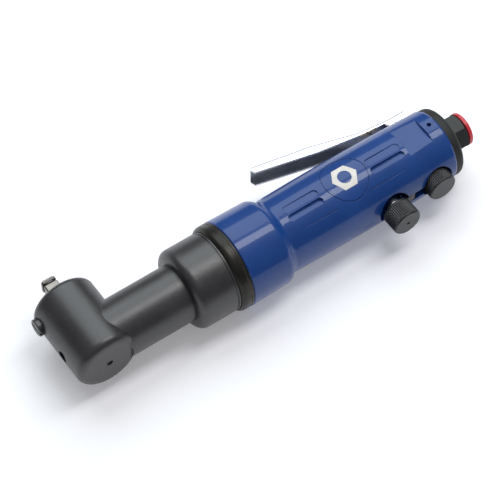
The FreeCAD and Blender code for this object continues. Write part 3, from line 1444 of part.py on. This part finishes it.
def export():
    os.makedirs("parts", exist_ok=True)
    for item in SUBPARTS:
        item.Shape.exportStep(f"parts/{item.Label}.step")
        box = item.Shape.BoundBox
        print(f"{item.Label:24s} {item.Shape.Volume / 1000:8.2f} cm3  "
              f"x {box.XMin:7.2f} {box.XMax:7.2f}  y {box.YMin:7.2f} {box.YMax:7.2f}  "
              f"z {box.ZMin:6.2f} {box.ZMax:6.2f}  {len(item.Shape.Solids)} solid(s)")


def main():
    make_angle_head()
    make_end_cap()
    make_grease_plug()
    make_spindle()
    make_gear_key()
    make_friction_ring()
    make_bevel_gear()
    make_pinion_shaft()
    make_bushings()
    make_front_ring()
    make_hammer_case()
    make_anvil()
    make_hammer_cage()
    make_hammers()
    make_hammer_pins()
    motor_start, motor_end = make_end_plates()
    make_motor_cylinder(motor_start, motor_end)
    make_rotor(motor_start, motor_end)
    make_vanes(motor_start, motor_end)
    make_motor_housing()
    make_throttle_lever()
    make_lever_pin()
    make_throttle_valve()
    make_knobs()
    make_rocker()
    make_exhaust_ring()
    make_inlet_bushing()
    make_strainer()
    make_dust_plug()
    check_document()
    export()


main()
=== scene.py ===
"""Right-angle air nut runner: finishes, badge, floor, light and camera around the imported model."""
import json
import math

import bmesh
import bpy
from mathutils import Matrix, Vector
from mathutils.bvhtree import BVHTree


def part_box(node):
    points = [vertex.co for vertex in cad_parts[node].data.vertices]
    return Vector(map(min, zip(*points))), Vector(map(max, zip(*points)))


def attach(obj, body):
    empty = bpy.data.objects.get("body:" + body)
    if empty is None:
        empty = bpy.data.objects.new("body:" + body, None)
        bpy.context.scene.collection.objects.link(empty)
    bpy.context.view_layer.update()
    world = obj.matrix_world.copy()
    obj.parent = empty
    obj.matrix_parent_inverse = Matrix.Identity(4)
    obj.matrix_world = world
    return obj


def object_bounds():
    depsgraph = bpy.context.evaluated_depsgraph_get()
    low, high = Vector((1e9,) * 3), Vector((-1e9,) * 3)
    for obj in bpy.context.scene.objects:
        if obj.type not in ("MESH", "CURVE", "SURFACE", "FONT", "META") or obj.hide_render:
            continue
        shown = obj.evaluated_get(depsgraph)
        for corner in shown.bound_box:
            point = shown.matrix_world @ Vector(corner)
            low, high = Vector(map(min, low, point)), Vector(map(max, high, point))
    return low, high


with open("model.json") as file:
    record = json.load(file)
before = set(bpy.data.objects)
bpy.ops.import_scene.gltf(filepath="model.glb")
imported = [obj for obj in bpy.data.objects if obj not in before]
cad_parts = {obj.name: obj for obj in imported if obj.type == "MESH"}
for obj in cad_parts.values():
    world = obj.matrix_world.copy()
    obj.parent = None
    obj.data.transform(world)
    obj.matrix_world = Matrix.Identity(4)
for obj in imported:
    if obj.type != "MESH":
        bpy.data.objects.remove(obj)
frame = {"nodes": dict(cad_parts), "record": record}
CAD_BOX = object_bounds()
NODES = frame["nodes"]
MM = 0.001

# The motor's axis lies along X, through the middle of the inlet.
INLET_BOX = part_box("inlet_bushing")
AXIS_Y = (INLET_BOX[0].y + INLET_BOX[1].y) / 2
AXIS_Z = (INLET_BOX[0].z + INLET_BOX[1].z) / 2


# ---------------------------------------------------------------- materials

class Look:
    """A node material under construction. Patterns follow the piece's own coordinates."""

    def __init__(self, name):
        self.material = bpy.data.materials.new(name)
        self.material.use_nodes = True
        self.tree = self.material.node_tree
        self.shader = self.tree.nodes["Principled BSDF"]
        self.place = self.node("ShaderNodeTexCoord").outputs["Object"]

    def node(self, kind, **settings):
        made = self.tree.nodes.new(kind)
        for name, value in settings.items():
            setattr(made, name, value)
        return made

    def feed(self, socket, value):
        if isinstance(value, bpy.types.NodeSocket):
            self.tree.links.new(value, socket)
        else:
            socket.default_value = value

    def noise(self, scale, detail=3.0, stretch=(1, 1, 1), shift=0.0):
        mapping = self.node("ShaderNodeMapping")
        self.feed(mapping.inputs["Vector"], self.place)
        mapping.inputs["Scale"].default_value = stretch
        mapping.inputs["Location"].default_value = (shift, shift * 1.7, shift * 0.6)
        texture = self.node("ShaderNodeTexNoise")
        self.feed(texture.inputs["Vector"], mapping.outputs[0])
        texture.inputs["Scale"].default_value = scale
        texture.inputs["Detail"].default_value = detail
        return texture.outputs[0]

    def fit(self, value, low, high, to_low=0.0, to_high=1.0):
        made = self.node("ShaderNodeMapRange", clamp=True)
        for name, number in zip(("Value", "From Min", "From Max", "To Min", "To Max"),
                                (value, low, high, to_low, to_high)):
            self.feed(made.inputs[name], number)
        return made.outputs[0]

    def times(self, first, second, operation="MULTIPLY"):
        made = self.node("ShaderNodeMath", operation=operation)
        self.feed(made.inputs[0], first)
        self.feed(made.inputs[1], second)
        return made.outputs[0]

    def mix(self, factor, first, second):
        made = self.node("ShaderNodeMix", data_type="RGBA")
        self.feed(made.inputs[0], factor)
        self.feed(made.inputs[6], (*first, 1) if isinstance(first, tuple) else first)
        self.feed(made.inputs[7], (*second, 1) if isinstance(second, tuple) else second)
        return made.outputs[2]

    def along(self, axis, low, high):
        """0 where the coordinate is under low, 1 over high, both in metres."""
        split = self.node("ShaderNodeSeparateXYZ")
        self.feed(split.inputs[0], self.place)
        return self.fit(split.outputs["XYZ".index(axis)], low, high)

    def edges(self, radius, sharpness):
        """1 at the piece's edges, 0 on its open faces, with the rounded normal."""
        rounded = self.node("ShaderNodeBevel", samples=6)
        rounded.inputs["Radius"].default_value = radius
        surface = self.node("ShaderNodeNewGeometry")
        turn = self.node("ShaderNodeVectorMath", operation="DOT_PRODUCT")
        self.feed(turn.inputs[0], rounded.outputs[0])
        self.feed(turn.inputs[1], surface.outputs["Normal"])
        return self.fit(turn.outputs["Value"], 1.0, sharpness), rounded.outputs[0]

    def bump(self, height, distance, normal=None):
        made = self.node("ShaderNodeBump")
        made.inputs["Strength"].default_value = 1.0
        made.inputs["Distance"].default_value = distance
        self.feed(made.inputs["Height"], height)
        if normal is not None:
            self.feed(made.inputs["Normal"], normal)
        return made.outputs[0]


LINE_STRETCH = {"X": (1, 0.02, 0.02), "Y": (0.02, 1, 0.02), "Z": (0.02, 0.02, 1),
                "along": (0.03, 1, 1)}


def make_look(name, dark, light, metal=0.0, rough=(0.3, 0.45), patch=60, grain=1500,
              grain_height=0.02, lines=None, line_scale=2500, line_height=0.01, edge=None, wear_and_glint=0.5,
              edge_radius=0.35, coat=0.0, coat_rough=0.05, sheen=0.0, specular=0.5, extra=None):
    """Mottled colour, uneven roughness, grain, tool marks and lighter edges, which are worn edges
    and on some finishes also a painted glint along the edge. Heights are in mm.
    """
    look = Look(name)
    mottle = look.fit(look.noise(patch, 4.0), 0.3, 0.7)
    fine = look.noise(grain, 3.0, shift=0.13)
    colour = look.mix(mottle, dark, light)
    roughness = look.times(look.fit(mottle, 0.0, 1.0, rough[0], (rough[0] + rough[1]) / 2),
                           look.fit(fine, 0.3, 0.7, 0.0, (rough[1] - rough[0]) / 2), "ADD")
    rubbed_and_glint_edges, normal = look.edges(edge_radius * MM, 0.8)
    # The edge colour stands for worn edges. On the knobs, the black ring and the blue paint it is
    # also a painted highlight along the edges.
    if edge:
        patchy = look.fit(look.noise(patch * 6, 5.0, shift=0.4), 0.35, 0.65, 0.25, 1.0)
        colour = look.mix(look.times(look.times(rubbed_and_glint_edges, patchy), wear_and_glint), colour, edge)
    normal = look.bump(fine, grain_height * MM, normal)
    if lines:
        marks = look.noise(line_scale, 2.0, LINE_STRETCH[lines], shift=0.07)
        normal = look.bump(marks, line_height * MM, normal)
        roughness = look.times(roughness, look.fit(marks, 0.3, 0.7, 0.88, 1.12))
    if extra:
        colour, roughness, normal = extra(look, colour, roughness, normal)
    look.feed(look.shader.inputs["Base Color"], colour)
    look.feed(look.shader.inputs["Roughness"], roughness)
    look.feed(look.shader.inputs["Normal"], normal)
    look.shader.inputs["Metallic"].default_value = metal
    look.shader.inputs["Specular IOR Level"].default_value = specular
    look.shader.inputs["Coat Weight"].default_value = coat
    look.shader.inputs["Coat Roughness"].default_value = coat_rough
    look.shader.inputs["Sheen Weight"].default_value = sheen
    return look.material


CHIPS_START = 0.108
CHIPS_FULL = 0.126
CHIP_DEPTH = 0.04 * MM


def paint_chips(look, colour, roughness, normal):
    """Small dark chips near the rear edge of the flat, and dust in the paint."""
    spots = look.fit(look.noise(420, 6.0, shift=0.9), 0.66, 0.69)
    near_end = look.along("X", CHIPS_START, CHIPS_FULL)
    chips = look.times(spots, near_end)
    specks = look.fit(look.noise(1900, 2.0, shift=0.31), 0.74, 0.78, 0.0, 0.5)
    colour = look.mix(chips, colour, (0.016, 0.018, 0.03))
    colour = look.mix(specks, colour, (0.05, 0.11, 0.34))
    return colour, roughness, look.bump(look.times(chips, -1.0), CHIP_DEPTH, normal)


PIT_DEPTH = 0.03 * MM


def cast_scuffs(look, colour, roughness, normal):
    """Rubbed streaks on the head and the collar."""
    streaks = look.fit(look.noise(260, 5.0, (0.6, 1, 1), shift=0.55), 0.6, 0.78, 0.0, 0.22)
    pits = look.fit(look.noise(700, 2.0, shift=0.77), 0.62, 0.72)
    colour = look.mix(streaks, colour, (0.125, 0.12, 0.122))
    return colour, roughness, look.bump(look.times(pits, -1.0), PIT_DEPTH, normal)


KNURL_ANGLE = math.radians(38)
KNURL_SCALE = 260
KNURL_DEPTH = 0.07 * MM


def cross_cut(look, colour, roughness, normal):
    """Fine cross lines of a knurling wheel, on the round sides only."""
    split = look.node("ShaderNodeSeparateXYZ")
    look.feed(split.inputs[0], look.node("ShaderNodeTexCoord").outputs["Normal"])
    sides = look.fit(look.times(split.outputs["Y"], 0.0, "ABSOLUTE"), 0.5, 0.8, 1.0, 0.0)
    for turn in (1, -1):
        wave = look.node("ShaderNodeTexWave", wave_type="BANDS", bands_direction="X")
        mapping = look.node("ShaderNodeMapping")
        mapping.inputs["Rotation"].default_value = (0, 0, turn * KNURL_ANGLE)
        look.feed(mapping.inputs["Vector"], look.place)
        look.feed(wave.inputs["Vector"], mapping.outputs[0])
        wave.inputs["Scale"].default_value = KNURL_SCALE
        normal = look.bump(look.times(wave.outputs["Fac"], sides), KNURL_DEPTH, normal)
    return colour, roughness, normal


BAND_START = (0.0042, 0.0036)
BAND_END = (0.0018, 0.0013)
BAND_COLOUR = (0.06, 0.05, 0.045)
BAND_STRENGTH = 0.75


def drive_band(look, colour, roughness, normal):
    """Dark band near the drive's tip. Distances are from the tip, in metres."""
    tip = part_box("spindle")[1].y
    band = look.times(look.along("Y", tip - BAND_START[0], tip - BAND_START[1]),
                      look.fit(look.along("Y", tip - BAND_END[0], tip - BAND_END[1]), 0, 1, 1, 0))
    return look.mix(look.times(band, BAND_STRENGTH), colour, BAND_COLOUR), roughness, normal


LOOKS = {
    "black_casting": dict(dark=(0.014, 0.0125, 0.0138), light=(0.023, 0.0208, 0.0228), specular=0.8,
                          rough=(0.3, 0.43), patch=55, grain=1500, grain_height=0.06,
                          edge=(0.2, 0.195, 0.19), wear_and_glint=0.5, edge_radius=0.5, extra=cast_scuffs),
    # The ring's golden edge colour is worn edges and also a painted golden highlight on the rounded
    # band.
    "black_ring": dict(dark=(0.014, 0.013, 0.0115), light=(0.026, 0.024, 0.019), metal=0.6,
                       rough=(0.28, 0.4), patch=80, grain=2200, grain_height=0.012, lines="X",
                       line_scale=1600, line_height=0.03, edge=(0.36, 0.33, 0.26), wear_and_glint=0.8),
    # The paint's lighter blue edge colour is thinner paint on the edges and also a painted edge
    # highlight.
    "blue_paint": dict(dark=(0.004, 0.043, 0.2), light=(0.007, 0.052, 0.235), rough=(0.3, 0.4),
                       patch=35, grain=650, grain_height=0.006, edge=(0.09, 0.17, 0.46), wear_and_glint=0.25,
                       edge_radius=0.5, coat=0.5, coat_rough=0.06,
                       specular=0.2, extra=paint_chips),
    "chrome": dict(dark=(0.66, 0.67, 0.69), light=(0.78, 0.79, 0.8), metal=1.0,
                   rough=(0.1, 0.2), patch=45, grain=900, grain_height=0.004, lines="along",
                   line_scale=2600, line_height=0.004, edge=(0.9, 0.9, 0.9), wear_and_glint=0.5),
    # Rougher chrome for the lever channel's inner faces. Its darker colour is painted shade there.
    "dull_chrome": dict(dark=(0.38, 0.39, 0.41), light=(0.48, 0.49, 0.51), metal=1.0,
                        rough=(0.34, 0.46), patch=60, grain=1200, grain_height=0.01,
                        lines="along", line_scale=1800, line_height=0.01),
    "drive_steel": dict(dark=(0.25, 0.225, 0.205), light=(0.33, 0.3, 0.275), metal=0.75,
                        rough=(0.28, 0.42), patch=120, grain=2500, grain_height=0.008, lines="Y",
                        line_scale=2200, line_height=0.01, edge=(0.75, 0.72, 0.68), wear_and_glint=0.8,
                        extra=drive_band),
    "dark_steel": dict(dark=(0.05, 0.05, 0.052), light=(0.1, 0.1, 0.1), metal=0.85,
                       rough=(0.3, 0.45), patch=120, grain=2200, grain_height=0.008,
                       edge=(0.4, 0.4, 0.4), wear_and_glint=0.7),
    "bright_steel": dict(dark=(0.5, 0.5, 0.51), light=(0.64, 0.64, 0.64), metal=1.0,
                         rough=(0.18, 0.3), patch=140, grain=2500, grain_height=0.005, lines="X",
                         edge=(0.8, 0.8, 0.8), wear_and_glint=0.5),
    "cast_liner": dict(dark=(0.17, 0.17, 0.175), light=(0.27, 0.27, 0.27), metal=0.8,
                       rough=(0.35, 0.5), patch=110, grain=1500, grain_height=0.02, lines="X",
                       edge=(0.5, 0.5, 0.5), wear_and_glint=0.5),
    "bronze": dict(dark=(0.42, 0.26, 0.12), light=(0.6, 0.4, 0.2), metal=0.9, rough=(0.35, 0.5),
                   patch=150, grain=2400, grain_height=0.03, edge=(0.75, 0.55, 0.3), wear_and_glint=0.5),
    "brass": dict(dark=(0.52, 0.36, 0.13), light=(0.72, 0.54, 0.24), metal=1.0, rough=(0.2, 0.32),
                  patch=130, grain=2300, grain_height=0.008, lines="Y", edge=(0.85, 0.7, 0.4),
                  wear_and_glint=0.6),
    # The knob's light edge colour is worn knurl ridges and also a painted glint on them.
    "black_knob": dict(dark=(0.009, 0.009, 0.01), light=(0.015, 0.015, 0.016), metal=0.1,
                       rough=(0.28, 0.4), patch=110, grain=2600, grain_height=0.01,
                       edge=(0.32, 0.32, 0.33), wear_and_glint=0.6, edge_radius=0.25, extra=cross_cut),
    "inlet_steel": dict(dark=(0.007, 0.0075, 0.007), light=(0.016, 0.017, 0.016), metal=0.3,
                        rough=(0.25, 0.36), patch=90, grain=1900, grain_height=0.015, lines="X",
                        line_scale=1400, edge=(0.4, 0.4, 0.4), wear_and_glint=0.7),
    "black_rubber": dict(dark=(0.010, 0.0098, 0.0098), light=(0.018, 0.0175, 0.017),
                         rough=(0.5, 0.7), patch=90, grain=1800, grain_height=0.04,
                         edge=(0.09, 0.088, 0.085), wear_and_glint=0.5, specular=0.4),
    "fibre": dict(dark=(0.2, 0.14, 0.08), light=(0.34, 0.25, 0.15), rough=(0.6, 0.8), patch=200,
                  grain=1400, grain_height=0.05, lines="along", line_scale=900, line_height=0.03),
    "felt": dict(dark=(0.34, 0.33, 0.3), light=(0.52, 0.51, 0.47), rough=(0.85, 1.0), patch=220,
                 grain=900, grain_height=0.25, sheen=0.4),
    "red_plastic": dict(dark=(0.5, 0.022, 0.035), light=(0.62, 0.035, 0.05), rough=(0.28, 0.42),
                        patch=90, grain=1300, grain_height=0.01, edge=(0.75, 0.16, 0.16), wear_and_glint=0.4),
    "badge_print": dict(dark=(0.66, 0.63, 0.58), light=(0.78, 0.75, 0.7), rough=(0.4, 0.55),
                        patch=260, grain=1500, grain_height=0.01),
}


LEVER_WALL = 1.0 * MM
FACING = 0.5


def dull_and_shaded_inside(material):
    """Give the inner faces of the lever's channel a satin finish of their own, darker than the
    chrome: the darker colour is painted shade inside the channel.
    """
    mesh = NODES["throttle_lever"].data
    mesh.materials.append(material)
    low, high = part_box("throttle_lever")
    inner = (high.z - low.z) / 2 - LEVER_WALL
    for face in mesh.polygons:
        offset = face.center.z - AXIS_Z
        if abs(offset) < inner and (face.normal.y < -FACING or face.normal.z * offset < 0):
            face.material_index = 1


def paint_nodes():
    """Give every CAD node the material of its slot in the record."""
    finishes = {name: make_look(name, **spec) for name, spec in LOOKS.items()}
    for part in frame["record"]["subparts"]:
        mesh = NODES[part["node"]].data
        mesh.materials.clear()
        mesh.materials.append(finishes[part["material_slot"]])
    dull_and_shaded_inside(finishes["dull_chrome"])
    return finishes


# ---------------------------------------------------------------- pieces

SHARP_ANGLE = math.radians(35)


def new_piece(name, mesh_maker, material):
    mesh = bpy.data.meshes.new(name)
    shape = bmesh.new()
    mesh_maker(shape)
    bmesh.ops.recalc_face_normals(shape, faces=shape.faces)
    shape.to_mesh(mesh)
    shape.free()
    for face in mesh.polygons:
        face.use_smooth = True
    mesh.set_sharp_from_angle(angle=SHARP_ANGLE)
    mesh.materials.append(material)
    piece = bpy.data.objects.new(name, mesh)
    bpy.context.scene.collection.objects.link(piece)
    return piece


def surface_under(node):
    tree = BVHTree.FromObject(NODES[node], bpy.context.evaluated_depsgraph_get())

    def height(x, y):
        hit = tree.ray_cast(Vector((x, y, CAD_BOX[1].z + 0.01)), Vector((0, 0, -1)))[0]
        return hit.z
    return height


BADGE_X = 0.05645
BADGE_Y = AXIS_Y - 0.0018
NUT_CORNER = 0.0092
NUT_BORE = 0.0046
PRINT_PROUD = 0.00009
PRINT_SUNK = 0.0003
PRINT_TURNS = 120
PRINT_RINGS = 10


def nut_mark(shape):
    """Outline of a plain hexagon nut, printed on the curved housing."""
    height = surface_under("motor_housing")
    side = math.radians(60)
    upper, lower = [], []
    for ring in range(PRINT_RINGS + 1):
        share = ring / PRINT_RINGS
        tops, bottoms = [], []
        for step in range(PRINT_TURNS):
            angle = math.tau * step / PRINT_TURNS
            outer = NUT_CORNER * math.cos(side / 2) / math.cos((angle % side) - side / 2)
            radius = NUT_BORE + (outer - NUT_BORE) * share
            x = BADGE_X + radius * math.cos(angle)
            y = BADGE_Y + radius * math.sin(angle)
            z = height(x, y)
            tops.append(shape.verts.new((x, y, z + PRINT_PROUD)))
            bottoms.append(shape.verts.new((x, y, z - PRINT_SUNK)))
        upper.append(tops)
        lower.append(bottoms)
    for step in range(PRINT_TURNS):
        after = (step + 1) % PRINT_TURNS
        for ring in range(PRINT_RINGS):
            for rows in (upper, lower):
                shape.faces.new((rows[ring][step], rows[ring][after],
                                 rows[ring + 1][after], rows[ring + 1][step]))
        for rim in (0, PRINT_RINGS):
            shape.faces.new((upper[rim][step], upper[rim][after],
                             lower[rim][after], lower[rim][step]))


# ---------------------------------------------------------------- floor, light, camera

FLOOR_HALF = 4.0
PAPER_DARK = (0.9, 0.9, 0.925)
PAPER_LIGHT = (0.92, 0.92, 0.94)
PAPER_GLOW = (1.0, 0.985, 1.0, 1)
GLOW_STRENGTH = 0.2


def make_floor():
    mesh = bpy.data.meshes.new("floor")
    corners = [(FLOOR_HALF * x, FLOOR_HALF * y, 0) for x, y in ((-1, -1), (1, -1), (1, 1), (-1, 1))]
    mesh.from_pydata(corners, [], [(0, 1, 2, 3)])
    floor = bpy.data.objects.new("floor", mesh)
    bpy.context.scene.collection.objects.link(floor)
    look = Look("floor_paper")
    tone = look.fit(look.noise(14, 3.0), 0.3, 0.7)
    look.feed(look.shader.inputs["Base Color"], look.mix(tone, PAPER_DARK, PAPER_LIGHT))
    look.shader.inputs["Roughness"].default_value = 0.85
    look.shader.inputs["Specular IOR Level"].default_value = 0.1
    look.shader.inputs["Emission Color"].default_value = PAPER_GLOW
    look.shader.inputs["Emission Strength"].default_value = GLOW_STRENGTH
    mesh.materials.append(look.material)


def make_light(name, direction, distance, width, depth, radiance, tint=(1, 1, 1)):
    """Softbox facing the middle of the tool. Radiance 1 is white paper in full light."""
    data = bpy.data.lights.new(name, "AREA")
    data.shape = "RECTANGLE"
    data.size = width
    data.size_y = depth
    data.energy = radiance * math.pi * width * depth
    data.color = tint
    light = bpy.data.objects.new(name, data)
    way = Vector(direction).normalized()
    light.location = Vector((0, 0, AXIS_Z)) + way * distance
    across = (Vector((1, 0, 0)) - way * way.x).normalized()
    light.rotation_euler = Matrix((across, way.cross(across), way)).transposed().to_euler()
    bpy.context.scene.collection.objects.link(light)


WORLD_LOW = (0.07, 0.072, 0.08, 1)
WORLD_HIGH = (0.40, 0.41, 0.43, 1)
BACKDROP = (0.87, 0.875, 0.89, 1)
WORLD_RISE = (0.05, 0.75)


def make_world():
    """Pale backdrop. It lights the tool softly from above and hardly from the sides."""
    world = bpy.data.worlds.new("studio")
    world.use_nodes = True
    tree = world.node_tree
    place = tree.nodes.new("ShaderNodeTexCoord")
    split = tree.nodes.new("ShaderNodeSeparateXYZ")
    rise = tree.nodes.new("ShaderNodeMapRange")
    mix = tree.nodes.new("ShaderNodeMix")
    mix.data_type = "RGBA"
    mix.inputs[6].default_value = WORLD_LOW
    mix.inputs[7].default_value = WORLD_HIGH
    rise.inputs["From Min"].default_value = WORLD_RISE[0]
    rise.inputs["From Max"].default_value = WORLD_RISE[1]
    tree.links.new(place.outputs["Generated"], split.inputs[0])
    tree.links.new(split.outputs["Z"], rise.inputs["Value"])
    tree.links.new(rise.outputs[0], mix.inputs[0])
    seen = tree.nodes.new("ShaderNodeMix")
    seen.data_type = "RGBA"
    seen.inputs[7].default_value = BACKDROP
    tree.links.new(tree.nodes.new("ShaderNodeLightPath").outputs["Is Camera Ray"], seen.inputs[0])
    tree.links.new(mix.outputs[2], seen.inputs[6])
    tree.links.new(seen.outputs[2], tree.nodes["Background"].inputs["Color"])
    bpy.context.scene.world = world


CAMERA_AT = Vector((-0.48829, -0.68497, 1.2597))
CAMERA_TARGET = Vector((-0.01302, -0.00495, 0.0297))
CAMERA_LENS = 171.3


def make_camera():
    data = bpy.data.cameras.new("camera")
    data.lens = CAMERA_LENS
    data.sensor_width = 36
    data.clip_start = 0.05
    camera = bpy.data.objects.new("camera", data)
    camera.location = CAMERA_AT
    camera.rotation_euler = (CAMERA_AT - CAMERA_TARGET).to_track_quat("Z", "Y").to_euler()
    bpy.context.scene.collection.objects.link(camera)
    bpy.context.scene.camera = camera


# ---------------------------------------------------------------- the scene

make_camera()
make_world()
make_floor()
make_light("strip_softbox", (0.32, -0.05, 0.943), 1.2, 0.85, 0.34, 6.4)
make_light("back_softbox", (0.2, 0.55, 0.81), 1.5, 1.8, 1.05, 2.3, (0.9, 0.98, 1.0))
finishes = paint_nodes()
mark = new_piece("badge_nut_mark", nut_mark, finishes["badge_print"])
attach(mark, "housing")
bpy.context.scene.view_settings.view_transform = "Standard"
